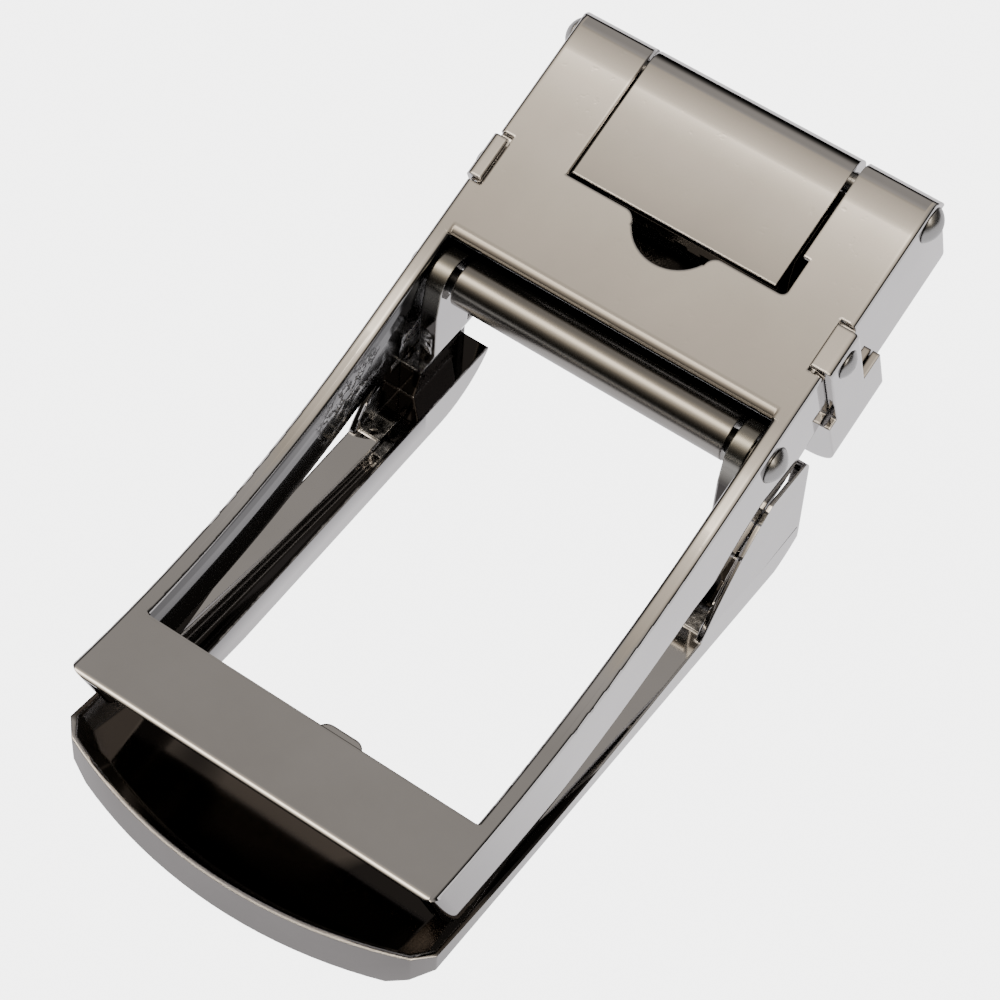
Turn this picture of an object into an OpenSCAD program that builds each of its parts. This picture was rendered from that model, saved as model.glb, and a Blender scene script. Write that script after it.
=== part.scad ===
// Ratchet belt buckle, lying with its face down and its working side up.
// Millimetres. +X runs from the strap end to the rounded end, +Y across, +Z up.
// The base frame and what is fixed to it are drawn in the frame's own axes, with z = 0 on top of
// the header plate, and then laid at the angle at which the closed buckle rests on its face.
// The face frame is drawn lying flat, with z = 0 on the surface that it rests on.

/* [Header] */
// Width across the side walls
frame_w = 40; // [36:0.5:44]
// Thickness of the header plate
plate_t = 1.2; // [0.8:0.1:1.6]
// Thickness of the header's side walls
wall_t = 1.5; // [1:0.1:1.8]
// Depth of the header's side walls
wall_h = 13.1; // [11:0.1:14]
// Depth of the top of the strap pocket's floor
floor_z = 7.9; // [6.5:0.1:8.5]
// Thickness of the strap pocket's floor
floor_t = 1; // [0.8:0.1:1.4]

/* [Rails] */
// Start of the window
window_x0 = 25.9; // [24.5:0.1:27]
// End of the window
window_x1 = 72.8; // [66:0.1:75]
// Width of the window
window_w = 36.4; // [34:0.1:37]
// Length from the origin to the end bar's outer edge
frame_l = 81.1; // [78:0.1:84]
// Where the rails start to curve
curve_x = 38.2; // [34:0.1:42]
// Radius of the rails' upper edge
curve_r = 91; // [85:1:120]
// Depth of the rails
rail_h = 9; // [7:0.1:9.5]
// Thickness of the end bar
bar_t = 1.7; // [1.2:0.1:3]

/* [Pins] */
// Place of the flap's pin along the frame
end_pin_x = 1.4; // [1.4:0.1:2]
// Radius of the flap's pin
end_pin_r = 1.1; // [0.8:0.05:1.3]
// Radius of the rolled end around the flap's pin
knuckle_r = 2.4; // [2.3:0.1:2.5]
// Place of the pivot pin along the frame
pivot_x = 28.8; // [28.4:0.1:29]
// Depth of the pivot pin below the plate
pivot_z = 3.6; // [3.4:0.1:3.8]
// Radius of the pivot pin
pivot_r = 1.2; // [0.9:0.05:1.4]
// Radius of the pins' domed heads
head_r = 1.9; // [1.6:0.1:2]
// Height of the pins' domed heads
head_h = 1.1; // [0.8:0.05:1.2]
// Radius of the keeper rivets' heads
rivet_head_r = 1.5; // [1.3:0.1:1.6]
// Height of the keeper rivets' heads
rivet_head_h = 0.7; // [0.5:0.05:0.9]
// Radial clearance of pins in their bores
fit = 0.03; // [0.02:0.01:0.08]

/* [Flap] */
// Width of the flap
flap_w = 22.9; // [20:0.1:23]
// Length from the origin to the flap's free edge
flap_l = 14.75; // [13:0.05:14.8]
// Depth of the toothed lip
lip_h = 5.4; // [4:0.1:6]
// Number of teeth across the lip
tooth_count = 7; // [3:1:9]

/* [Keeper] */
// Thickness of the keeper's sheet
sheet_t = 0.8; // [0.6:0.1:1]
// Start of the keeper's legs
leg_x0 = 15.2; // [15:0.1:15.6]
// End of the keeper's legs
leg_x1 = 20; // [19:0.1:20.2]
// Start of the keeper's feet and crossbar
foot_x0 = 12.3; // [11:0.1:13]
// End of the keeper's feet and crossbar
foot_x1 = 21.3; // [20.6:0.1:21.5]
// Depth of the keeper's front
keeper_z = 20.7; // [19:0.1:21]

/* [Face] */
// Half width of the face at its hinge
face_w0 = 20.9; // [20.8:0.05:21.2]
// Half width of the face at its rounded end
face_w1 = 20.6; // [20.5:0.05:20.8]
// Half width of the opening between the arms
opening_w = 16; // [15.6:0.1:16.4]
// Start of the arms
arm_x = 19.2; // [18.8:0.1:19.8]
// End of the opening between the arms
opening_x = 66.5; // [64:0.1:68]
// Length to the tip of the rounded end
face_l = 85.2; // [84.5:0.1:87]
// Radius of the rounded end
end_r = 48.6; // [44:0.1:60]
// Thickness of the arms beside the ledge
arm_t = 4.2; // [3.6:0.1:4.4]
// Height of the ledge
ledge_z = 4.6; // [4.4:0.1:5]
// Height of the rim at the rounded end
rim_z = 7.6; // [6:0.1:8]
// Thickness of the floor of the dished end
dish_z = 3; // [2:0.1:3.6]
// Height of the cheeks
cheek_z = 14.5; // [13:0.1:14.8]

/* [Lay] */
// Angle of the base frame to the surface
tilt = 19.8; // [19.4:0.1:20.2]
// Height of the base frame's origin above the surface
rest_h = 34.25; // [34.2:0.05:35]

/* [Hidden] */
$fn = 96;
eps = 0.01;
gap = 0.1;
far = 30;
half_w = frame_w / 2;
corner_r = 1;
end_x = end_pin_x - knuckle_r;

// Header
wall_x1 = 18.7;
wall_corner_r = 1.6;
floor_x0 = 0.5;
cut_y0 = -11.95;
cut_y1 = 12.1;
cut_y2 = 12.8;
cut_step_x = 10.9;
cut_x = 15.25;
cut_corner_r = 0.7;
notch_x = 14;
notch_y = 0.4;
notch_r = 4.7;
notch_shoulder_r = 1.2;
tab_notch_y = 18.4;
tab_notch_x0 = 14.45;
tab_notch_x1 = 20.3;
tab_notch_z = 1.1;
recess_y = 19.3;
edge_r = 1;

// Rails
lobe_x = 31;
lobe_z = 10.7;
lobe_r = 42;
rail_end_r = 2.5;
end_corner_r = 1.3;
round_r = 0.6;
bar_round_r = 0.5;
rail_lean = [[1.8, window_w / 2], [3.5, window_w / 2 + 0.1], [12, window_w / 2 + 1]];
rail_end_x = frame_l - rail_end_r;
rail_end_z = curve_r - sqrt(pow(curve_r + rail_h - rail_end_r, 2) - pow(rail_end_x - curve_x, 2));
rib_h = 0.9;
rib_t = 0.6;
rib_x = frame_l - 1.1;
rib_z = curve_r - sqrt(pow(curve_r + bar_t, 2) - pow(rib_x - curve_x, 2)) - rib_h;

// Keeper
rivet_x = 17.4;
rivet_z = 1.9;
rivet_r = 0.8;
tab_y = 18.6;
tab_top = 0.7;
bend_r = 0.75;
keeper_y = half_w + gap + sheet_t;
keeper_left_y = recess_y + gap + sheet_t;
keeper_half = (keeper_y + keeper_left_y) / 2;
keeper_mid = (keeper_y - keeper_left_y) / 2;
keeper_corner_r = 3.4;
keeper_inner_y = 17.4;
keeper_inner_z = 17.5;
foot_z = 10.5;
foot_gap = 0.3;
rivet_in = half_w - wall_t - 0.3;

// Flap
flap_y = (cut_y0 + 0.45) + flap_w / 2;
lip_x = 11.4;
tooth_h = 0.9;
tooth_w = flap_w / (2 * tooth_count + 1);

// Pawl bar
bar_half = 15.3;
bar_r = 2.4;
bar_shift = 0.3;
pawl_half = 11;
pawl_y = 2;

// Places of the pivot on the lying buckle, and the middle of its length
pivot_fx = lay_x(pivot_x, -pivot_z);
pivot_fz = lay_z(pivot_x, -pivot_z);
lay_x0 = lay_x(end_x + corner_r, corner_r - wall_h) - corner_r;
mid_x = (lay_x0 + face_l) / 2;

// Face frame
side_z = 4.8;
side_slope = 0.69;
side_rise = 0.082;
end_z = 2.6;
end_bevel = 3.2;
dish_floor_t = 1.2;
face_chamfer_x = 79.5;
face_chamfer_slope = 0.875;
hinge_round_x = 27.5;
hinge_round_r = 9.2;
hinge_round_angle = 25;
ledge_x = 35.6;
ledge_y = 17.6;
ledge_curve_x = 50;
ledge_curve_r = 160;
lip_y = 16.4;
groove_x = 37;
groove_angle = 2.25;
groove_slope = 0.5;
cheek_in = 19.3;
cheek_x1 = 37;
lean_z = 3;
lean_top_y = face_w0 - 0.4;
cheek_thin = 20.1;
cheek_thin_x = 22.2;
cheek_arc_x = 13;
cheek_arc_z = -10.8;
cheek_arc_r = 28.2;
cheek_tip_r = 1.2;
ear_y0 = 16;
ear_y1 = 17.9;
ear_r = 2.75;
ear_x0 = 23.6;
ear_x1 = 29;
ear_shoulder = 2.4;
ear_foot_z = 12.6;
foot_top_z = arm_t + 4.6;
foot_y = face_w0 - 0.9;
web_clear_r = 9.5;
web_x0 = 22.4;
lug_w = 5;
lug_l = 1.4;
lug_r = 1.2;
lug_z = 5.6;
rim_y = 20.15;
rim_low_z = 6.4;
dish_slope = 2.4;
rim_t = 0.45;

function lay_x(x, z) = x * cos(tilt) + z * sin(tilt);
function lay_z(x, z) = -x * sin(tilt) + z * cos(tilt) + rest_h;

// Lays what is drawn in the base frame's axes at its resting angle
module laid() {
    translate([-mid_x, 0, rest_h]) rotate([0, tilt, 0]) children();
}

// Centres what is drawn in the lying face's axes
module lying() {
    translate([-mid_x, 0, 0]) children();
}

// Extrudes an outline in X and Z from y0 to y1
module across(y0, y1) {
    translate([0, y1, 0]) rotate([90, 0, 0]) linear_extrude(y1 - y0) children();
}

// Round bar along Y
module bar_y(r, y0, y1) {
    across(y0, y1) circle(r);
}

// Domed head of a pin, standing on y = 0 and rising along Y
module dome(r, h) {
    dome_r = (r * r + h * h) / (2 * h);
    rotate([-90, 0, 0]) rotate_extrude() intersection() {
        translate([0, h - dome_r]) circle(dome_r);
        square([r, h]);
    }
}

module header_wall_2d() {
    translate([end_x + corner_r, corner_r - wall_h]) circle(corner_r);
    translate([end_x, corner_r - wall_h]) square([wall_x1 - end_x, wall_h - corner_r - knuckle_r]);
    translate([end_x + corner_r, -wall_h]) square([wall_x1 - wall_corner_r - end_x - corner_r, wall_h]);
    translate([wall_x1 - wall_corner_r, wall_corner_r - wall_h]) circle(wall_corner_r);
    translate([wall_x1 - wall_corner_r - eps, wall_corner_r - wall_h])
        square([wall_corner_r + eps, wall_h - wall_corner_r]);
}

// Side view of the walls and rails
module side_2d() {
    difference() {
        header_wall_2d();
        translate([end_x - 1, -knuckle_r]) square([end_pin_x - end_x + 1, knuckle_r + 1]);
    }
    translate([end_pin_x, -knuckle_r]) circle(knuckle_r);
    translate([wall_x1 - eps, -rail_h]) square([curve_x - wall_x1 + eps, rail_h]);
    intersection() {
        translate([lobe_x, lobe_r - lobe_z]) circle(lobe_r);
        translate([wall_x1, -lobe_z]) square([2 * (lobe_x - wall_x1), lobe_z]);
    }
    translate([rail_end_x, rail_end_z]) circle(rail_end_r);
    difference() {
        translate([curve_x, curve_r]) circle(curve_r + rail_h);
        translate([curve_x, curve_r]) circle(curve_r);
        translate([curve_x - 2 * curve_r, -far]) square([2 * curve_r, 3 * curve_r]);
        translate([rail_end_x, -far]) square([2 * curve_r, far + rail_end_z]);
        translate([frame_l, -far]) square([2 * curve_r, 3 * curve_r]);
        translate([curve_x, far]) square([2 * curve_r, 3 * curve_r]);
    }
}

// Strap pocket between the plate and the floor, open at both ends
module pocket_2d() {
    difference() {
        translate([end_x - 1, -floor_z]) square([window_x0 - end_x + 1 + eps, floor_z - plate_t]);
        translate([end_pin_x, -knuckle_r]) circle(knuckle_r);
        translate([end_x - 1, -knuckle_r]) square([end_pin_x - end_x + 1, knuckle_r]);
    }
}

module flap_cutout_2d() {
    translate([end_x - 1, cut_y0]) square([cut_x - end_x + 1, cut_y1 - cut_y0]);
    translate([cut_step_x, cut_y0]) square([cut_x - cut_corner_r - cut_step_x, cut_y2 - cut_y0]);
    translate([cut_step_x, cut_y0]) square([cut_x - cut_step_x, cut_y2 - cut_corner_r - cut_y0]);
    translate([cut_x - cut_corner_r, cut_y2 - cut_corner_r]) circle(cut_corner_r);
    thumb_notch_2d();
}

// Round thumb notch with soft shoulders
module thumb_notch_2d() {
    shoulder_y = sqrt(pow(notch_r + notch_shoulder_r, 2) - pow(cut_x + notch_shoulder_r - notch_x, 2));
    translate([notch_x, notch_y]) circle(notch_r);
    difference() {
        translate([cut_x - eps, notch_y - shoulder_y])
            square([notch_shoulder_r, 2 * shoulder_y]);
        for (side = [-1, 1])
            translate([cut_x + notch_shoulder_r, notch_y + side * shoulder_y]) circle(notch_shoulder_r);
    }
}

module base_frame() {
    color("#8f8880") laid() difference() {
        across(-half_w, half_w) side_2d();
        across(wall_t - half_w, half_w - wall_t) pocket_2d();
        header_underside();
        window();
        rail_lean_cut();
        mirror([0, 1, 0]) rail_lean_cut();
        plan_corner(frame_l, 1, end_corner_r, far);
        plan_corner(end_x, -1, round_r, -knuckle_r);
        upper_edges();
        mirror([0, 1, 0]) upper_edges();
        bar_edge(window_x1, 1, window_w / 2);
        bar_edge(frame_l, -1, half_w + 1);
        translate([0, 0, -knuckle_r * 2 - 0.2]) linear_extrude(knuckle_r * 2 + 1) flap_cutout_2d();
        tab_notch();
        mirror([0, 1, 0]) tab_notch();
        leg_recess();
        translate([end_pin_x, 0, -knuckle_r]) bar_y(end_pin_r + fit, -far, far);
        translate([pivot_x, 0, -pivot_z]) bar_y(pivot_r + fit, -far, far);
        translate([rivet_x, 0, -rivet_z]) bar_y(rivet_r + fit, -far, far);
    }
}

// Open space under the pocket's floor and at its two ends
module header_underside() {
    inner = half_w - wall_t;
    under = floor_z + floor_t;
    across(-inner, inner) {
        translate([end_x - 1, -far]) square([window_x0 - end_x + 1 + eps, far - under]);
        translate([end_x - 1, -far]) square([floor_x0 - end_x + 1, far - floor_z]);
    }
}

// Window between the rails, and the space under the end bar
module window() {
    translate([window_x0, -window_w / 2, -far])
        cube([window_x1 - window_x0, window_w, 2 * far]);
    across(-window_w / 2, window_w / 2) difference() {
        translate([window_x0 - edge_r, -edge_r]) square([edge_r + eps, edge_r + eps]);
        translate([window_x0 - edge_r, -edge_r]) circle(edge_r);
    }
    across(-window_w / 2, window_w / 2) difference() {
        translate([window_x1 - eps, -far]) square([far, 2 * far]);
        translate([curve_x, curve_r]) circle(curve_r + bar_t);
        end_rib_2d();
    }
}

// Space that makes a rail thinner below: its points give depth and distance from the middle
module rail_lean_cut() {
    inner = [[rail_lean[2][0], window_w / 2 - 1], [rail_lean[0][0], window_w / 2 - 1]];
    points = concat(rail_lean, inner);
    along_top(window_x0, curve_x) polygon(points);
    along_curve(rib_x - 1) polygon(points);
}

// Space outside two round upright corners at x, up to height z; side is 1 where +X is outside
module plan_corner(x, side, r, z) {
    for (way = [-1, 1]) scale([1, way, 1]) translate([x - side * r, half_w - r, z - 2 * far]) difference() {
        translate([side > 0 ? 0 : -r - 1, 0, 0]) cube([r + 1, r + 1, 2 * far]);
        cylinder(r = r, h = 2 * far);
    }
}

// Space outside the rounding of an outer edge, as depth and distance from the middle
module outer_round_2d() {
    difference() {
        translate([-1, half_w - round_r]) square([1 + round_r, round_r + 1]);
        translate([round_r, half_w - round_r]) circle(round_r);
    }
}

// The same for an edge of the window
module inner_round_2d() {
    difference() {
        translate([-1, window_w / 2 - eps]) square([1 + round_r, round_r + eps]);
        translate([round_r, window_w / 2 + round_r]) circle(round_r);
    }
}

// Draws a section of depth and distance from the middle along the straight upper edge
module along_top(x0, x1) {
    translate([x0, 0, 0]) rotate([90, 0, 90]) linear_extrude(x1 - x0) rotate(-90)
        children();
}

// Draws such a section along the rail's curve, up to x1
module along_curve(x1) {
    intersection() {
        translate([curve_x, 0, curve_r]) rotate([-90, 0, 0]) rotate_extrude()
            translate([curve_r, 0]) children();
        translate([curve_x - eps, 0, -far]) cube([x1 - curve_x + eps, far, 2 * far]);
    }
}

// Space outside the rounded upper edges of one side
module upper_edges() {
    along_top(end_x - 1, curve_x) outer_round_2d();
    along_curve(frame_l + 1) outer_round_2d();
    along_top(window_x0, curve_x) inner_round_2d();
    along_curve(window_x1) inner_round_2d();
}

// Space outside a rounded upper edge of the end bar at x, out to y; side is 1 where the bar is towards +X
module bar_edge(x, side, y) {
    mid = x + side * bar_round_r;
    mid_z = curve_r - sqrt(pow(curve_r + bar_round_r, 2) - pow(mid - curve_x, 2));
    touch = mid - bar_round_r * (mid - curve_x) / (curve_r + bar_round_r);
    across(-y, y) difference() {
        translate([min(x - side * eps, touch), mid_z])
            square([abs(touch - x) + eps, 3 * bar_round_r]);
        translate([mid, mid_z]) circle(bar_round_r);
    }
}

// Low rib under the end bar's outer edge
module end_rib_2d() {
    translate([rib_x, rib_z]) square([rib_t, rib_h + bar_t / 2]);
}

// Notch for one of the keeper's tabs in the edge of the plate
module tab_notch() {
    translate([tab_notch_x0, tab_notch_y, -tab_notch_z])
        cube([tab_notch_x1 - tab_notch_x0, far, tab_notch_z + 1]);
}

// Recess for the keeper's left leg and foot in the side wall
module leg_recess() {
    across(-far, -recess_y) {
        translate([leg_x0 - gap, -foot_z - gap]) square([leg_x1 - leg_x0 + 2 * gap, foot_z + 1]);
        translate([foot_x0 - gap, -far]) square([foot_x1 - foot_x0 + 2 * gap, far + gap - foot_z]);
    }
}

// Pin with a domed head outside each side wall
module headed_pin(x, z, r) {
    laid() translate([x, 0, z]) {
        bar_y(r, -half_w - gap / 2, half_w + gap / 2);
        for (side = [0, 180]) rotate([0, 0, side]) translate([0, half_w + gap / 2, 0]) dome(head_r, head_h);
    }
}

module end_pin() {
    color("#6f6d6c") headed_pin(end_pin_x, -knuckle_r, end_pin_r);
}

module pivot_pin() {
    color("#6f6d6c") headed_pin(pivot_x, -pivot_z, pivot_r);
}

// Rivet through one leg of the keeper and the wall behind it
module keeper_rivet(out_y) {
    bar_y(rivet_r, rivet_in, out_y + gap / 2);
    translate([0, out_y + gap / 2, 0]) dome(rivet_head_r, rivet_head_h);
}

module keeper_rivet_left() {
    color("#6f6d6c") laid() translate([rivet_x, 0, -rivet_z]) mirror([0, 1, 0]) keeper_rivet(keeper_left_y);
}

module keeper_rivet_right() {
    color("#6f6d6c") laid() translate([rivet_x, 0, -rivet_z]) keeper_rivet(keeper_y);
}

// Cross-section of the keeper's loop below the side walls, in Y and Z
module keeper_loop_2d() {
    difference() {
        union() {
            translate([-keeper_half, keeper_corner_r - keeper_z])
                square([2 * keeper_half, keeper_z - keeper_corner_r - wall_h - gap]);
            translate([keeper_corner_r - keeper_half, -keeper_z])
                square([2 * (keeper_half - keeper_corner_r), keeper_corner_r + eps]);
            for (side = [-1, 1])
                translate([side * (keeper_half - keeper_corner_r), keeper_corner_r - keeper_z])
                    circle(keeper_corner_r);
        }
        translate([-keeper_inner_y, -keeper_inner_z]) square([2 * keeper_inner_y, far]);
    }
}

// Leg with its foot and its bent tab, out to out_y
module keeper_side(out_y) {
    foot_h = keeper_z - keeper_corner_r - foot_z;
    shoulder_x = wall_x1 + foot_gap;
    shoulder_z = foot_z + gap;
    across(out_y - sheet_t, out_y) {
        translate([leg_x0, -foot_z - eps]) square([leg_x1 - leg_x0, foot_z + tab_top - bend_r + eps]);
        translate([foot_x0, -foot_z - foot_h]) square([foot_x1 - foot_x0, foot_h]);
    }
    translate([leg_x0, tab_y, tab_top - sheet_t]) cube([leg_x1 - leg_x0, out_y - bend_r - tab_y, sheet_t]);
    translate([leg_x0, out_y - bend_r, tab_top - bend_r]) rotate([0, 90, 0])
        cylinder(r = bend_r, h = leg_x1 - leg_x0);
    translate([shoulder_x, keeper_inner_y, -wall_h - gap - eps])
        cube([foot_x1 - shoulder_x, out_y - keeper_inner_y, wall_h + gap + eps - shoulder_z]);
}

module keeper() {
    color("#7d7b80") laid() difference() {
        union() {
            translate([foot_x0, keeper_mid, 0]) rotate([90, 0, 90])
                linear_extrude(foot_x1 - foot_x0) keeper_loop_2d();
            keeper_side(keeper_y);
            mirror([0, 1, 0]) keeper_side(keeper_left_y);
        }
        translate([rivet_x, 0, -rivet_z]) bar_y(rivet_r + fit, -far, far);
    }
}

// Side view of the flap: rolled knuckle, plate and lip
module flap_2d() {
    low = 2 * knuckle_r;
    difference() {
        polygon([[end_x, 0], [flap_l, 0], [flap_l, -plate_t], [flap_l - 0.3, -plate_t],
            [flap_l - 0.5, -lip_h], [flap_l - 1.3, -lip_h], [lip_x + 0.9, -plate_t - 1.4],
            [lip_x, -plate_t], [end_pin_x + low, -plate_t], [end_pin_x + knuckle_r, -knuckle_r],
            [end_pin_x + knuckle_r, -low], [end_x, -low]]);
        difference() {
            translate([end_x - 1, -low - 1]) square([knuckle_r + 1, low + 2]);
            translate([end_pin_x, -knuckle_r]) circle(knuckle_r);
        }
        difference() {
            translate([end_pin_x - eps, -low - 1]) square([knuckle_r + 1, knuckle_r + 1]);
            translate([end_pin_x, -knuckle_r]) circle(knuckle_r);
        }
        translate([end_pin_x, -knuckle_r]) circle(end_pin_r + fit);
    }
}

module clamp_flap() {
    color("#a09a92") laid() difference() {
        across(flap_y - flap_w / 2, flap_y + flap_w / 2) flap_2d();
        for (i = [0 : tooth_count - 1])
            translate([lip_x, flap_y - flap_w / 2 + (2 * i + 1) * tooth_w, -lip_h - 1])
                cube([flap_l - lip_x + 1, tooth_w, tooth_h + 1]);
    }
}

// Side view of the pawl bar: round back and top, flat flank
module pawl_2d() {
    translate([-bar_shift, 0]) circle(bar_r);
    polygon([[0, 0], [bar_r - bar_shift - 0.05, -0.45], [1.45, -2.3], [-0.6, -2.5], [-1.5, -1.4]]);
}

// Lip that drops from the middle of the bar
module pawl_lip_2d() {
    polygon([[1.6, -1.9], [1.3, -3.1], [0, -3.4], [-0.8, -2]]);
}

module pawl_bar() {
    color("#6d6964") laid() translate([pivot_x, 0, -pivot_z]) difference() {
        union() {
            across(-bar_half, bar_half) pawl_2d();
            across(pawl_y - pawl_half, pawl_y + pawl_half) pawl_lip_2d();
        }
        bar_y(pivot_r + fit, -far, far);
    }
}

// Plan of the whole face, without its opening
module face_plan_2d() {
    intersection() {
        polygon([for (side = [-1, 1], p = face_side(side)) p]);
        translate([face_l - end_r, 0]) circle(end_r);
    }
}

// Corners of one side of the face, from the hinge to the tip on side -1 and back on side 1
function face_side(side) = let(
    tip = [face_l + 1, side * (face_w1 - (face_l + 1 - face_chamfer_x) * face_chamfer_slope)],
    corner = [face_chamfer_x, side * face_w1],
    hinge = [arm_x - 1, side * face_w0]
) side < 0 ? [hinge, corner, tip] : [tip, corner, hinge];

// Side view of the plate, the ledge and the rim
module face_height_2d() {
    translate([arm_x, 0]) square([face_l - arm_x + 1, arm_t]);
    difference() {
        translate([ledge_x, 0]) square([face_l - ledge_x + 1, rim_z]);
        translate([ledge_curve_x, ledge_z + ledge_curve_r]) circle(ledge_curve_r);
        translate([ledge_x - 1, ledge_z]) square([ledge_curve_x - ledge_x + 1, far]);
    }
}

// Side view of a cheek, outside the rails
module cheek_2d() {
    intersection() {
        union() {
            translate([arm_x - 0.5, 0]) square([cheek_x1 - arm_x, cheek_z - cheek_tip_r]);
            translate([arm_x - 0.5 + cheek_tip_r, 0]) square([cheek_x1 - arm_x - cheek_tip_r, cheek_z]);
            translate([arm_x - 0.5 + cheek_tip_r, cheek_z - cheek_tip_r]) circle(cheek_tip_r);
        }
        translate([cheek_arc_x, cheek_arc_z]) circle(cheek_arc_r);
    }
}

// Plan of a cheek: thick at the end, thin beside the rail
module cheek_plan_2d() {
    polygon([[arm_x - 1, cheek_in], [arm_x + 0.5, cheek_in], [cheek_thin_x, cheek_thin],
        [cheek_x1 + 1, cheek_thin], [cheek_x1 + 1, far], [arm_x - 1, far]]);
}

// Side view of an ear: round hub on an upright post
module ear_2d() {
    translate([pivot_fx, pivot_fz]) circle(ear_r);
    polygon([[pivot_fx - ear_r, pivot_fz], [pivot_fx + ear_r, pivot_fz],
        [ear_x1, pivot_fz - ear_shoulder], [ear_x1, ear_foot_z], [ear_x0, ear_foot_z],
        [ear_x0, pivot_fz - ear_shoulder]]);
}

// Foot of an ear, which leans out under the rail into the cheek, in Y and Z
module ear_foot_2d() {
    polygon([[ear_y0, ear_foot_z + 0.5], [ear_y1, ear_foot_z + 0.5], [ear_y1, foot_top_z],
        [foot_y, foot_top_z], [foot_y, arm_t - 1], [ear_y1 + 0.6, arm_t - 1],
        [ear_y1 - 0.4, foot_top_z], [ear_y0, ear_foot_z]]);
}

module ear_foot() {
    difference() {
        translate([web_x0, 0, 0]) rotate([90, 0, 90]) linear_extrude(ear_x1 - web_x0) ear_foot_2d();
        translate([pivot_fx, 0, pivot_fz]) bar_y(web_clear_r, ear_y1, far);
    }
}

module face_side_parts() {
    intersection() {
        across(cheek_in, face_w0 + 1) cheek_2d();
        linear_extrude(far) cheek_plan_2d();
        linear_extrude(far) face_plan_2d();
        translate([arm_x - 1, 0, 0]) rotate([90, 0, 90]) linear_extrude(far)
            polygon([[0, 0], [face_w0 + 1, 0], [face_w0 + 1, lean_z], [face_w0, lean_z],
                [lean_top_y, cheek_z + 1], [0, cheek_z + 1]]);
    }
    across(ear_y0, ear_y1) ear_2d();
    intersection() {
        ear_foot();
        linear_extrude(far) face_plan_2d();
    }
}

// Groove between the ledge and the inner edge of an arm, wider towards the end
module arm_groove() {
    slope_top = rim_z + 2;
    intersection() {
        translate([groove_x, ledge_y - groove_slope, 0]) rotate([90, 0, 90 + groove_angle])
            linear_extrude(opening_x + 1 - groove_x)
                polygon([[-3, dish_z], [0, dish_z], [groove_slope, ledge_z - 0.2],
                    [groove_slope + 0.1, slope_top], [-3, slope_top]]);
        translate([groove_x, lip_y, 0]) cube([far * 2, far, far]);
    }
}

// Hollow of the dished end, with leaning sides
module dish() {
    x0 = opening_x + 1;
    low_y = rim_y - dish_slope;
    intersection() {
        translate([x0, 0, 0]) rotate([90, 0, 90]) linear_extrude(face_l - x0)
            polygon([[-low_y, dish_z], [low_y, dish_z], [rim_y, rim_low_z], [rim_y, far],
                [-rim_y, far], [-rim_y, rim_low_z]]);
        translate([face_l - end_r, 0, 0]) rotate_extrude()
            polygon([[0, dish_z], [end_r - rim_t - dish_slope, dish_z], [end_r - rim_t, rim_z],
                [end_r - rim_t, far], [0, far]]);
        dish_corner();
        mirror([0, 1, 0]) dish_corner();
    }
}

// Space inside the leaning faces of one corner
module dish_corner() {
    translate([face_chamfer_x, face_w1, 0]) rotate([0, 0, -atan(face_chamfer_slope)])
        translate([-2 * far, 0, 0]) rotate([90, 0, 90]) linear_extrude(4 * far)
            polygon([[-3 * far, dish_z], [-rim_t - dish_slope, dish_z], [-rim_t, rim_z], [-rim_t, far],
                [-3 * far, far]]);
}

// Everything below a plane that bevels one side of the face, raised by h
module below_side_plane(h) {
    reach = 9;
    translate([face_chamfer_x, 0, side_z + h]) rotate([0, -atan(side_rise), 0]) rotate([90, 0, 90])
        translate([face_w1, 0, -3 * far]) linear_extrude(4 * far)
            polygon([[-reach, -reach * side_slope], [reach, reach * side_slope], [reach, -far],
                [-reach, -far]]);
}

// Cuts that bevel the front of the face along one side and round it at the hinge
module side_bevel() {
    below_side_plane(0);
    translate([hinge_round_x, opening_w, 0]) rotate([0, 0, hinge_round_angle]) across(-2, far)
        difference() {
            translate([-far, -1]) square([far, hinge_round_r + 1]);
            translate([0, hinge_round_r]) circle(hinge_round_r);
        }
}

// Slanted cut that bevels the front of the rounded end
module end_bevel_cut() {
    translate([face_l - end_r, 0, 0]) rotate_extrude()
        polygon([[end_r - end_bevel, -1], [end_r - end_bevel, 0], [end_r + 0.1, end_z],
            [end_r + 5, end_z], [end_r + 5, -1]]);
}

// Lug with round corners at the edge of the dished end
module end_lug() {
    x0 = opening_x - lug_l + lug_r;
    corner_y = lug_w / 2 - lug_r;
    translate([0, 0, dish_z / 2]) linear_extrude(lug_z - dish_z / 2) {
        for (side = [-1, 1]) translate([x0, side * corner_y]) circle(lug_r);
        translate([x0 - lug_r, -corner_y]) square([lug_l + 1, 2 * corner_y]);
        translate([x0, -lug_w / 2]) square([lug_l + 1 - lug_r, lug_w]);
    }
}

module face_frame() {
    color("#77757a") lying() difference() {
        union() {
            difference() {
                intersection() {
                    linear_extrude(far) face_plan_2d();
                    across(-far, far) face_height_2d();
                }
                translate([arm_x - 5, -ledge_y, arm_t]) cube([opening_x + 5 - arm_x, 2 * ledge_y, far]);
                translate([arm_x - 5, -opening_w, -1])
                    cube([opening_x + 5 - arm_x, 2 * opening_w, far]);
                arm_groove();
                mirror([0, 1, 0]) arm_groove();
                difference() {
                    dish();
                    below_side_plane(dish_floor_t);
                    mirror([0, 1, 0]) below_side_plane(dish_floor_t);
                }
            }
            face_side_parts();
            mirror([0, 1, 0]) face_side_parts();
            end_lug();
        }
        side_bevel();
        mirror([0, 1, 0]) side_bevel();
        end_bevel_cut();
        translate([pivot_fx, 0, pivot_fz]) bar_y(pivot_r + fit, -far, far);
    }
}

base_frame();
end_pin();
pivot_pin();
keeper();
keeper_rivet_left();
keeper_rivet_right();
clamp_flap();
pawl_bar();
face_frame();
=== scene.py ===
import bpy
from mathutils import Matrix, Vector

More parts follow.
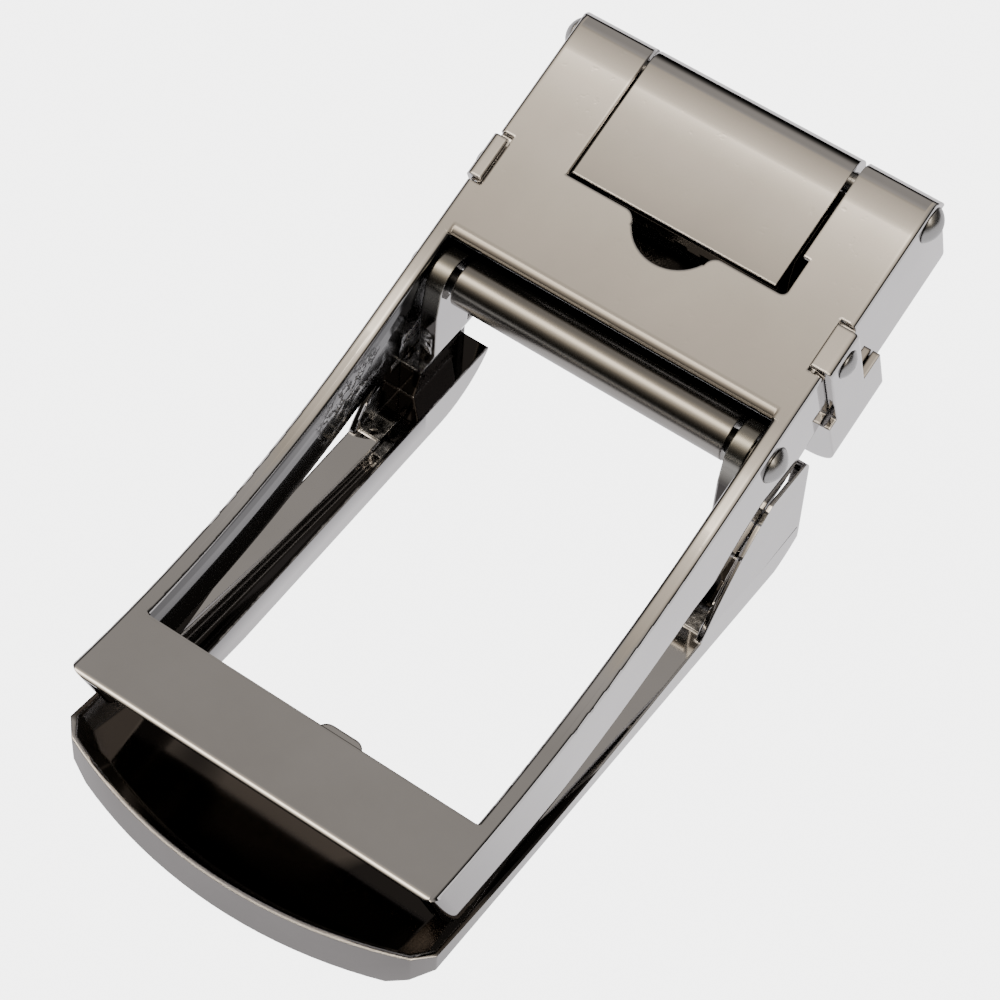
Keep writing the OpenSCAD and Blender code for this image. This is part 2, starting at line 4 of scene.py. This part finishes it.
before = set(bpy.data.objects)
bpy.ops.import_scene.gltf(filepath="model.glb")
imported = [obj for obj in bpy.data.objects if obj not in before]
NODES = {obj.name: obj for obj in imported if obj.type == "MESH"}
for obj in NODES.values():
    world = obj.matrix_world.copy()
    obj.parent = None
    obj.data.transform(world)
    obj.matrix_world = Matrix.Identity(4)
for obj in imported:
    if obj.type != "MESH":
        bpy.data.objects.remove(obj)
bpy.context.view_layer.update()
MM = 0.001

# Camera: focal length and place in mm, and the directions of the image's right and down
LENS = 114.77
SENSOR = 36
CLIP = (0.01, 20)
CAMERA_AT = (149.62, 88.37, 257.87)
CAMERA_RIGHT = (-0.5717, 0.8188, 0.0519)
CAMERA_DOWN = (0.6511, 0.4912, -0.5787)

# The base frame's own axes, in metres: X runs along the header and the rails, Z up from the header's top.
# They are tilted against the lying face, whose X is counted from the same end
MID_X = 0.04005
REST_H = 0.03425
COS_TILT = 0.94088
SIN_TILT = 0.33874

# The base frame: where the rails curve, its half width, the rounding of its edges, and the window
CURVE_X = 0.0382
CURVE_R = 0.0905
HALF_W = 0.02
ROUND_R = 0.0006
WINDOW_X = (0.0259, 0.0728)
WINDOW_HALF = 0.0182

# The header's hollow: where its first roll ends, where the hollow starts, and the length over which it fades
ROLL_X = 0.001
HOLLOW_X = 0.0042
FADE = 0.006

# The plate at the window, its rounded edge darkened as painted shade, and the strap pocket under it, dark with
# painted shade
PLATE_END_X = 0.0262
RIM_X = 0.0245
RIM_Z = -0.0007
POCKET_Z = (-0.0085, -0.0013)
POCKET_Y = 0.0186
DULL_SHADE_X = 0.0249
DULL_SHADE_Y = 0.0184
DULL_SHADE_Z = -0.0015

# The inner side of the rails, where D is the depth under the upper edge, darkened by painted shade. Up to
# BLACK_X the painted black shade starts NEAR_D higher, so that it fills the wall
WALL_X = 0.0255
WALL_Y = (0.0181, 0.0195)
WALL_D = 0.0004
GREY_X = 0.036
FAR_X = 0.049
BLACK_X = 0.0395
BLACK_D = 0.0026
NEAR_D = 0.01
LINE_D = (0.0005, 0.0009)
CAST_X = (0.04, 0.047)
CAST_D = (0.0012, 0.0068)

# The dark middle of the pivot pin. The end pin lies before PIVOT_X
PIVOT_X = 0.01
PIVOT_Y = 0.0175

# The face frame, along its own X, away from the middle (Y) and above the floor (H). BEHIND is on the rails,
# behind the feet of its ears
DISH_X = 0.0668
DISH_H = 0.0073
DISH_SIDE_Y = 0.0172
LEDGE_Y = 0.0187
LEDGE_SPREAD = 6.5
GROOVE_Y = 0.01605
GROOVE_H = 0.0044
GROOVE_END_X = (0.0348, 0.0375)
GROOVE_END_Y = (0.0164, 0.0175)
GROOVE_END_H = 0.0046
CHEEK_X = 0.0368
CHEEK_Y = 0.0185
POST_X = (0.0262, 0.031)
POST_Y = (0.0161, 0.0185)
POST_H = (0.006, 0.0195)
ARM_X = 0.03
ARM_Y = 0.0165
ARM_H = 0.0031
HUB_X = (0.0225, 0.0292)
HUB_H = 0.0185
FOOT_X = (0.0262, 0.0305)
FOOT_Y = 0.0165
FOOT_H = (0.0085, 0.0158)
BLOCK_X = (0.0325, 0.0356)
BLOCK_Y = (0.0178, 0.0202)
BLOCK_H = 0.008
BEHIND_X = (0.027, 0.0305)
BEHIND_H = (0.0122, 0.0155)

# How far a surface faces inward, upward or along X where its mask starts, as that part of its normal, and how
# softly the mask starts
FACES_IN = 0.5
LEANS_IN = 0.65
FOOT_IN = -0.3
FACES_UP = 0.55
LEANS_UP = 0.3
LEVEL_UP = 0.9
POST_ALONG = 0.4
RIM_ALONG = 0.3
TURN = 0.2
SHARP_TURN = 0.1

# Noises: scale, detail and roughness
HAZE = (70.0, 4.0, 0.6)
WAVES = (45.0, 1.5, 0.4)
GRAIN = (650.0, 5.0, 0.65)
LUMPS = (260.0, 3.0, 0.6)
RAGGED = (420.0, 4.0, 0.7)
WAVY = (120.0, 3.0, 0.6)

# Noises that leave patches: scale, detail, roughness, and the values where a patch starts and is full
MARKS = (900.0, 2.0, 0.6, 0.66, 0.76)
BROWN_PATCHES = (55.0, 1.0, 0.4, 0.44, 0.5)
# Patches of the brown painted reflection in the dish
STREAKS = (330.0, 5.0, 0.7, 0.5, 0.56)
BARE = (300.0, 2.0, 0.5, 0.42, 0.46)

# Heights of the relief, in metres, how far the haze changes the colour and the roughness, the look of the
# places that the casting left rough, and how far the uneven edges of the painted shade wander
WAVE_RISE = 0.000005
MARK_RISE = 0.0000012
GRAIN_RISE = 0.0001
LUMP_RISE = 0.0003
HAZE_RANGE = (0.3, 0.7)
HAZE_TINT = 0.05
HAZE_ROUGH = 0.05
CAST_ROUGH = 0.2
CAST_SHADES = [(0.4, 0.04), (0.62, 0.5)]
RAGGED_REACH = 0.0009
WAVY_REACH = 0.0012

# Colours of the plating and of the places where it differs; several of these are painted shade, and one is a
# painted reflection
GUN = (0.455, 0.445, 0.44)
# Painted shade on the plate's rounded edge at the window
DULL_SHADE = (0.17, 0.16, 0.15)
# Painted shade on the rails' inner walls: grey, darker further along, black lowest and near the header
WALL_GREY_SHADE = (0.1, 0.098, 0.1)
WALL_FAR_SHADE = (0.02, 0.0195, 0.0195)
WALL_BLACK_SHADE = (0.02, 0.02, 0.021)
# Painted shade inside the strap pocket and on the plate's edge at the window
POCKET_SHADE = (0.03, 0.028, 0.027)
HUB_GREY = (0.24, 0.235, 0.215)
SIDE_GREY = (0.3, 0.29, 0.29)
# Painted shade on the arms' inner sides
ARM_SHADE = (0.16, 0.157, 0.162)
# Painted shade, near black, in the face's hollows
CAVITY_SHADE = (0.03, 0.027, 0.025)
# Painted brown reflection in the dish
DISH_REFLECTION_BROWN = (0.11, 0.095, 0.082)
BAR_GREY = (0.25, 0.24, 0.225)
PIN_GREY = (0.27, 0.27, 0.268)
PIN_BLACK = (0.02, 0.02, 0.02)

# Floor: half its size, its height just under the part, the painted glow that the camera sees, and the painted
# light and shade that the metal reflects by the place along the part
FLOOR_HALF = 3.0
FLOOR_Z = -0.00002
FLOOR_SEEN = 5.0
FLOOR_GREY = 0.05
FLOOR_ROUGH = 0.9
FLOOR_SPAN = 4.0
FLOOR_SHADES = [(0.55, (1.4, 1.37, 1.42)), (0.68, (0.45, 0.44, 0.46)), (0.95, (0.6, 0.6, 0.61))]

# Studio light: brightness by the direction along X, which is cool up to COOL_TO and then warm, and the share
# of it by the height of the direction
LIGHT = 8.0
SKY = [(-1.0, 0.1), (-0.8, 0.35), (-0.6, 0.53), (-0.34, 0.53), (-0.27, 0.6), (-0.2, 0.68), (-0.13, 0.8),
       (-0.06, 1.11), (0.01, 1.44), (0.06, 1.8), (0.085, 2.4), (0.11, 4.0), (0.14, 7.0), (0.3, 7.0),
       (0.45, 2.0), (0.7, 0.4), (1.0, 0.1)]
COOL = (1.0, 0.93, 0.86)
WARM = (1.0, 0.875, 0.71)
COOL_TO = -0.15
SKY_BY_HEIGHT = [(0.0, 0.02), (0.3, 0.05), (0.5, 0.45), (0.65, 1.0)]


# Camera at the photograph's angle
def make_camera():
    data = bpy.data.cameras.new("camera")
    data.sensor_fit = "HORIZONTAL"
    data.sensor_width = SENSOR
    data.lens = LENS
    data.clip_start, data.clip_end = CLIP
    cam = bpy.data.objects.new("camera", data)
    bpy.context.scene.collection.objects.link(cam)
    right = Vector(CAMERA_RIGHT).normalized()
    forward = right.cross(Vector(CAMERA_DOWN)).normalized()
    down = forward.cross(right).normalized()
    rot = Matrix((right, -down, -forward)).transposed().to_4x4()
    cam.matrix_world = Matrix.Translation(Vector(CAMERA_AT) * MM) @ rot
    bpy.context.scene.camera = cam


make_camera()


class Tree:
    """Helper for node trees"""

    def __init__(self, tree):
        self.tree = tree
        self.nodes = tree.nodes
        self.nodes.clear()

    def add(self, kind, inputs=None, **props):
        node = self.nodes.new(kind)
        for key, value in props.items():
            setattr(node, key, value)
        for key, value in (inputs or {}).items():
            self.put(node, key, value)
        return node

    def put(self, node, key, value):
        socket = node.inputs[key]
        if isinstance(value, bpy.types.NodeSocket):
            self.tree.links.new(value, socket)
        elif isinstance(value, bpy.types.Node):
            self.tree.links.new(value.outputs[0], socket)
        else:
            socket.default_value = value

    def math(self, op, a, b=0.0, clamp=False):
        return self.add("ShaderNodeMath", {0: a, 1: b}, operation=op, use_clamp=clamp).outputs[0]

    def chain(self, op, values):
        """One operation over two or more values"""
        out = values[0]
        for value in values[1:]:
            out = self.math(op, out, value)
        return out

    def mix(self, fac, a, b):
        node = self.add("ShaderNodeMix", data_type="RGBA")
        self.put(node, 0, fac)
        self.put(node, 6, a)
        self.put(node, 7, b)
        return node.outputs[2]

    def ramp(self, fac, stops):
        node = self.add("ShaderNodeValToRGB", {0: fac})
        elements = node.color_ramp.elements
        while len(elements) < len(stops):
            elements.new(0.5)
        for element, (place, value) in zip(elements, stops):
            element.position = place
            element.color = value if len(value) == 4 else (*value, 1)
        return node.outputs[0]

    def noise(self, vector, scale, detail, rough):
        return self.add("ShaderNodeTexNoise", {"Vector": vector, "Scale": scale, "Detail": detail,
                                               "Roughness": rough}).outputs[0]

    def separate(self, vector):
        return self.add("ShaderNodeSeparateXYZ", {0: vector}).outputs


def grey(v):
    return (v, v, v, 1)


def greys(stops):
    return [(place, grey(v)) for place, v in stops]


class Place:
    """Coordinates of the shaded point, fixed to the piece: xf and h on the lying face, xh and zh on the base
    frame, y and its size ay across both, depth under the rails' upper edge, normal n and its part inward"""

    def __init__(self, t):
        coord = t.add("ShaderNodeTexCoord")
        self.pos = coord.outputs["Object"]
        x, self.y, self.h = t.separate(self.pos)
        self.n = t.separate(coord.outputs["Normal"])
        self.xf = t.math("ADD", x, MID_X)
        self.ay = t.math("ABSOLUTE", self.y)
        low = t.math("SUBTRACT", self.h, REST_H)
        self.xh = t.math("SUBTRACT", t.math("MULTIPLY", self.xf, COS_TILT), t.math("MULTIPLY", low, SIN_TILT))
        self.zh = t.math("ADD", t.math("MULTIPLY", self.xf, SIN_TILT), t.math("MULTIPLY", low, COS_TILT))
        self.inward = t.chain("MULTIPLY", [self.n[1], t.math("SIGN", self.y), -1.0])
        curve = t.math("MAXIMUM", t.math("SUBTRACT", self.xh, CURVE_X), 0.0)
        top = t.chain("MULTIPLY", [curve, curve, 0.5 / CURVE_R])
        self.depth = t.math("SUBTRACT", top, self.zh)


def step(t, value, edge, soft=0.0002):
    """0 below the edge and 1 above it, over soft"""
    return t.math("DIVIDE", t.math("SUBTRACT", value, edge - soft / 2), soft, clamp=True)


def below(t, value, edge, soft=0.0002):
    """1 below the edge and 0 above it, over soft"""
    return t.math("SUBTRACT", 1.0, step(t, value, edge, soft))


def between(t, value, lo, hi, soft=0.0002):
    """1 from lo to hi and 0 elsewhere, over soft"""
    return t.math("MULTIPLY", step(t, value, lo, soft), below(t, value, hi, soft))


def every(t, *masks):
    """1 where each of the masks is 1"""
    return t.chain("MULTIPLY", masks)


def largest(t, *masks):
    return t.chain("MAXIMUM", masks)


def patches(t, place, scale, detail, rough, start, full):
    """1 in the patches of a noise and 0 between them"""
    return t.ramp(t.noise(place.pos, scale, detail, rough), greys([(start, 0.0), (full, 1.0)]))


def wander(t, place, value, noise, reach):
    """The value, made uneven by a noise"""
    swing = t.math("SUBTRACT", t.noise(place.pos, *noise), 0.5)
    return t.math("ADD", value, t.math("MULTIPLY", swing, reach))


def cosine(t, sine):
    return t.math("SQRT", t.math("SUBTRACT", 1.0, t.math("MULTIPLY", sine, sine)))


def metal(name, color, rough=0.05, bevel=0.3, sag=None, parts=(), cast=None, rounded=None):
    """Polished gunmetal plating: slightly wavy, with faint haze, fine marks and edges softened by bevel in mm.
    sag gives the plate's shallow hollow, parts the places of another colour, most of them painted shade and
    one a painted reflection, and how much rougher they are, cast those that the casting left rough, and
    rounded the exact normal of a rounded edge"""
    mat = bpy.data.materials.new(name)
    mat.use_nodes = True
    t = Tree(mat.node_tree)
    place = Place(t)
    haze = t.noise(place.pos, *HAZE)
    tint = t.ramp(haze, [(HAZE_RANGE[0], [c * (1 - HAZE_TINT) for c in color]),
                         (HAZE_RANGE[1], [c * (1 + HAZE_TINT) for c in color])])
    rough_value = t.math("ADD", t.math("MULTIPLY", haze, HAZE_ROUGH), rough - HAZE_ROUGH / 2)
    waves = t.math("MULTIPLY", t.noise(place.pos, *WAVES), WAVE_RISE)
    marks = t.math("MULTIPLY", patches(t, place, *MARKS), MARK_RISE)
    height = t.math("ADD", waves, marks)
    if sag:
        height = t.math("ADD", height, sag(t, place))
    for where, shade, rougher in parts:
        mask = where(t, place)
        tint = t.mix(mask, tint, (*shade, 1))
        rough_value = t.math("ADD", rough_value, t.math("MULTIPLY", mask, rougher))
    if cast:
        mask = cast(t, place)
        grain = t.noise(place.pos, *GRAIN)
        lumps = t.noise(place.pos, *LUMPS)
        rise = t.math("ADD", t.math("MULTIPLY", grain, GRAIN_RISE), t.math("MULTIPLY", lumps, LUMP_RISE))
        height = t.math("ADD", height, t.math("MULTIPLY", rise, mask))
        rough_value = t.math("ADD", rough_value, t.math("MULTIPLY", mask, CAST_ROUGH))
        tint = t.mix(mask, tint, t.ramp(grain, greys(CAST_SHADES)))
    normal = t.add("ShaderNodeBevel", {"Radius": bevel * MM}, samples=8).outputs[0]
    if rounded:
        mask, exact = rounded(t, place)
        normal = t.mix(mask, normal, exact)
    bump = t.add("ShaderNodeBump", {"Strength": 1.0, "Distance": 1.0, "Height": height, "Normal": normal})
    shader = t.add("ShaderNodeBsdfPrincipled", {"Base Color": tint, "Metallic": 1.0,
                                                "Roughness": rough_value, "Normal": bump.outputs[0]})
    t.add("ShaderNodeOutputMaterial", {0: shader})
    return mat


def hollow(rise, slope, change, end):
    """Height of a shallow hollow along the header. It rises up to ROLL_X and falls by slope at HOLLOW_X.
    From there the slope changes by change a metre until end, where it fades out"""
    width = HOLLOW_X - ROLL_X
    last = change * (end - HOLLOW_X) - slope

    def height(t, place):
        rolled = t.math("MINIMUM", t.math("SUBTRACT", place.xh, ROLL_X), width)
        bend = t.math("MAXIMUM", rolled, 0.0)
        x = t.math("SUBTRACT", t.math("MINIMUM", t.math("MAXIMUM", place.xh, HOLLOW_X), end), HOLLOW_X)
        after = t.math("MINIMUM", t.math("MAXIMUM", t.math("SUBTRACT", place.xh, end), 0.0), FADE)
        return t.chain("ADD", [
            t.math("MULTIPLY", rolled, rise),
            t.chain("MULTIPLY", [bend, bend, -(rise + slope) / (2 * width)]),
            t.math("MULTIPLY", x, -slope),
            t.chain("MULTIPLY", [x, x, change / 2]),
            t.math("MULTIPLY", after, last),
            t.chain("MULTIPLY", [after, after, -last / (2 * FADE)])])
    return height


def rail_round(t, place):
    """Where the rails' upper edges are rounded, and the normal of that rounding along the rail's curve"""
    outer = t.math("DIVIDE", t.math("SUBTRACT", place.ay, HALF_W - ROUND_R), ROUND_R, clamp=True)
    inner = t.math("DIVIDE", t.math("SUBTRACT", WINDOW_HALF + ROUND_R, place.ay), ROUND_R, clamp=True)
    inner = every(t, inner, between(t, place.xh, *WINDOW_X, soft=0.0004))
    side = t.math("MULTIPLY", t.math("SUBTRACT", outer, inner), t.math("SIGN", place.y))
    lean = t.math("DIVIDE", t.math("SUBTRACT", place.xh, CURVE_X), CURVE_R, clamp=True)
    flat = cosine(t, side)
    x = t.chain("MULTIPLY", [lean, flat, -1.0])
    z = t.math("MULTIPLY", cosine(t, lean), flat)
    normal = t.add("ShaderNodeCombineXYZ", {
        0: t.math("ADD", t.math("MULTIPLY", x, COS_TILT), t.math("MULTIPLY", z, SIN_TILT)),
        1: side,
        2: t.math("SUBTRACT", t.math("MULTIPLY", z, COS_TILT), t.math("MULTIPLY", x, SIN_TILT))})
    world = t.add("ShaderNodeVectorTransform", {0: normal}, vector_type="NORMAL", convert_from="OBJECT",
                  convert_to="WORLD")
    near = largest(t, step(t, outer, 0.0, soft=0.02), step(t, inner, 0.0, soft=0.02))
    mask = every(t, near, below(t, place.depth, ROUND_R, soft=0.00004), step(t, place.xh, 0.0))
    return mask, world.outputs[0]


def cavity_shade(t, place):
    """Painted shade, near black, in the dish, in the grooves of the arms, on the hinge blocks and inside the
    cheeks
    """
    leaning = every(t, step(t, place.inward, LEANS_IN, SHARP_TURN),
                    below(t, place.n[2], LEVEL_UP, SHARP_TURN))
    outer = t.math("MAXIMUM", t.math("SUBTRACT", place.ay, LEDGE_Y), 0.0)
    far = t.math("ADD", place.xf, t.math("MULTIPLY", outer, LEDGE_SPREAD))
    dish = every(t, step(t, place.n[2], LEANS_UP, SHARP_TURN), step(t, far, DISH_X), below(t, place.h, DISH_H),
                 t.math("SUBTRACT", 1.0, leaning))
    groove = every(t, step(t, place.n[2], FACES_UP, TURN), below(t, place.xf, DISH_X),
                   step(t, wander(t, place, place.ay, RAGGED, RAGGED_REACH), GROOVE_Y),
                   below(t, place.h, GROOVE_H))
    cheek = every(t, step(t, place.inward, FACES_IN, TURN), step(t, place.ay, CHEEK_Y),
                  below(t, place.xf, CHEEK_X))
    post = every(t, step(t, place.n[0], POST_ALONG, TURN), between(t, place.xf, *POST_X),
                 between(t, place.ay, *POST_Y), step(t, place.h, POST_H[0]),
                 below(t, place.h, POST_H[1], soft=0.002))
    return largest(t, dish, groove, cheek, post)


def dish_brown_reflection(t, place):
    """Brown painted reflection in the dish's painted black shade, as large soft patches"""
    return every(t, cavity_shade(t, place), patches(t, place, *BROWN_PATCHES), step(t, place.xf, DISH_X))


def side_lean(t, place):
    """Leaning sides of the dish"""
    return every(t, step(t, place.inward, LEANS_IN, SHARP_TURN), step(t, place.n[2], LEANS_UP, SHARP_TURN),
                 step(t, place.xf, DISH_X), step(t, place.ay, DISH_SIDE_Y))


def arm_wall_shade(t, place):
    """Inner side of the arms, darker towards their top as painted shade"""
    return every(t, step(t, place.inward, FACES_IN, TURN), below(t, place.ay, ARM_Y),
                 step(t, place.h, ARM_H, soft=0.003), step(t, place.xf, ARM_X))


def hub(t, place):
    """Round tops of the ears, on the pivot pin"""
    return every(t, between(t, place.xf, *HUB_X), step(t, place.h, HUB_H, soft=0.001),
                 below(t, place.inward, FACES_IN, TURN))


def foot_cast(t, place):
    """Bare cast metal at the feet of the ears and at the ends of the grooves"""
    foot = every(t, between(t, place.xf, *FOOT_X), between(t, place.h, *FOOT_H, soft=0.0006),
                 step(t, place.ay, FOOT_Y))
    end = every(t, between(t, place.xf, *GROOVE_END_X, soft=0.0004), between(t, place.ay, *GROOVE_END_Y),
                below(t, place.h, GROOVE_END_H))
    block = every(t, between(t, place.xf, *BLOCK_X, soft=0.0006), between(t, place.ay, *BLOCK_Y),
                  below(t, place.h, BLOCK_H))
    return every(t, largest(t, foot, end, block), step(t, place.inward, FOOT_IN, TURN),
                 patches(t, place, *BARE))


def pocket(t, place):
    """Inside of the strap pocket, and the plate's edge at the window: rougher, and darkened near black as
    painted shade
    """
    rim = every(t, step(t, place.n[0], RIM_ALONG, TURN), step(t, place.xh, RIM_X), below(t, place.zh, RIM_Z))
    return every(t, largest(t, rim, between(t, place.zh, *POCKET_Z)), below(t, place.xh, PLATE_END_X),
                 below(t, place.ay, POCKET_Y))


def plate_edge_dull_shade(t, place):
    """The plate's rounded edge at the window, where the plating is rougher and its colour is darkened as
    painted shade
    """
    return every(t, between(t, place.xh, DULL_SHADE_X, PLATE_END_X, soft=0.0006), below(t, place.ay, DULL_SHADE_Y),
                 step(t, place.zh, DULL_SHADE_Z))


def inner_wall(t, place):
    """Inner side of the rails, without the strip under its upper edge"""
    return every(t, step(t, place.inward, FACES_IN, TURN), between(t, place.ay, *WALL_Y),
                 step(t, place.xh, WALL_X), step(t, place.depth, WALL_D))


def wall_grey_shade(t, place):
    """Inner wall beyond its first fifth, greyed as painted shade"""
    return every(t, inner_wall(t, place), step(t, place.xh, GREY_X, soft=0.004))


def wall_far_shade(t, place):
    """Far half of the inner wall, darker still as painted shade"""
    return every(t, inner_wall(t, place), step(t, place.xh, FAR_X, soft=0.01))


def wall_black_shade(t, place):
    """Painted shade, near black and slightly rougher: the lower part of the inner wall, all of it near the
    header, and a thin dark line under the edge
    """
    near = t.math("MULTIPLY", below(t, place.xh, BLACK_X, soft=0.003), NEAR_D)
    depth = t.math("ADD", wander(t, place, place.depth, WAVY, WAVY_REACH), near)
    return every(t, inner_wall(t, place),
                 largest(t, step(t, depth, BLACK_D, soft=0.0003), between(t, place.depth, *LINE_D)))


def wall_cast(t, place):
    """Rough streaks left by casting, beside the window's first corner and behind the ear's foot"""
    beside = every(t, between(t, place.xh, *CAST_X, soft=0.004),
                   between(t, place.depth, *CAST_D, soft=0.0018))
    behind = every(t, between(t, place.xf, *BEHIND_X, soft=0.0008),
                   between(t, place.h, *BEHIND_H, soft=0.0008))
    return every(t, inner_wall(t, place), largest(t, beside, behind), patches(t, place, *STREAKS))


def pin_middle(t, place):
    """The pivot pin between the hinge cheeks"""
    return every(t, step(t, place.xh, PIVOT_X), below(t, place.ay, PIVOT_Y))


def dress(mat, *nodes):
    for node in nodes:
        mesh = NODES[node].data
        mesh.materials.clear()
        mesh.materials.append(mat)


# The frame's metal darkens the plate's rounded edge, the rails' inner walls and the strap pocket as painted
# shade
dress(metal("frame_metal", GUN, sag=hollow(rise=0.05, slope=0.0505, change=5.06, end=PLATE_END_X),
            rounded=rail_round, cast=wall_cast,
            parts=[(plate_edge_dull_shade, DULL_SHADE, 0.1), (wall_grey_shade, WALL_GREY_SHADE, 0.0), (wall_far_shade, WALL_FAR_SHADE, 0.0),
                   (wall_black_shade, WALL_BLACK_SHADE, 0.05), (pocket, POCKET_SHADE, 0.1)]), "base_frame")
dress(metal("flap_metal", GUN, bevel=0.25, sag=hollow(rise=0.07, slope=0.05, change=8.9, end=0.0145)),
      "clamp_flap")
# The face's metal darkens the arms' inner sides and its hollows as painted shade, with brown painted
# reflection in the dish
dress(metal("face_metal", GUN, bevel=0.35, cast=foot_cast,
            parts=[(hub, HUB_GREY, 0.22), (side_lean, SIDE_GREY, 0.2), (arm_wall_shade, ARM_SHADE, 0.0),
                   (cavity_shade, CAVITY_SHADE, 0.02), (dish_brown_reflection, DISH_REFLECTION_BROWN, 0.03)]), "face_frame")
dress(metal("keeper_metal", GUN, bevel=0.35), "keeper")
dress(metal("bar_metal", BAR_GREY, rough=0.22), "pawl_bar")
dress(metal("pin_metal", PIN_GREY, rough=0.28, bevel=0.2, parts=[(pin_middle, PIN_BLACK, 0.1)]),
      "end_pin", "pivot_pin", "keeper_rivet_left", "keeper_rivet_right")


# Floor that glows as painted light, evenly for the camera, and darker beyond the part's far end in the metal's
# reflections as painted shade
def make_floor():
    mesh = bpy.data.meshes.new("floor")
    corners = [(-1, -1), (1, -1), (1, 1), (-1, 1)]
    mesh.from_pydata([(x * FLOOR_HALF, y * FLOOR_HALF, FLOOR_Z) for x, y in corners], [], [(0, 1, 2, 3)])
    obj = bpy.data.objects.new("floor", mesh)
    bpy.context.scene.collection.objects.link(obj)
    mat = bpy.data.materials.new("floor_white")
    mat.use_nodes = True
    t = Tree(mat.node_tree)
    ray = t.add("ShaderNodeLightPath")
    x = t.separate(t.add("ShaderNodeTexCoord").outputs["Object"])[0]
    shade = t.ramp(t.math("ADD", t.math("MULTIPLY", x, FLOOR_SPAN), 0.5), FLOOR_SHADES)
    seen = t.mix(ray.outputs["Is Camera Ray"], shade, grey(FLOOR_SEEN))
    shader = t.add("ShaderNodeBsdfPrincipled", {"Base Color": grey(FLOOR_GREY), "Roughness": FLOOR_ROUGH,
                                                "Emission Color": seen, "Emission Strength": 1.0})
    t.add("ShaderNodeOutputMaterial", {0: shader})
    mesh.materials.append(mat)


make_floor()


# Soft studio light: a bright window overhead, a warm ceiling behind it and a dim room at the horizon
def make_world():
    world = bpy.data.worlds.new("studio")
    bpy.context.scene.world = world
    world.use_nodes = True
    t = Tree(world.node_tree)
    x, _, z = t.separate(t.add("ShaderNodeTexCoord").outputs["Generated"])
    stops = [((place + 1) / 2, [v / LIGHT * c for c in (COOL if place < COOL_TO else WARM)])
             for place, v in SKY]
    sky = t.ramp(t.math("ADD", t.math("MULTIPLY", x, 0.5), 0.5), stops)
    high = t.ramp(z, greys(SKY_BY_HEIGHT))
    tone = t.add("ShaderNodeMix", {0: 1.0, 6: sky, 7: high}, data_type="RGBA", blend_type="MULTIPLY")
    back = t.add("ShaderNodeBackground", {"Color": tone.outputs[2], "Strength": LIGHT})
    t.add("ShaderNodeOutputWorld", {0: back})


make_world()
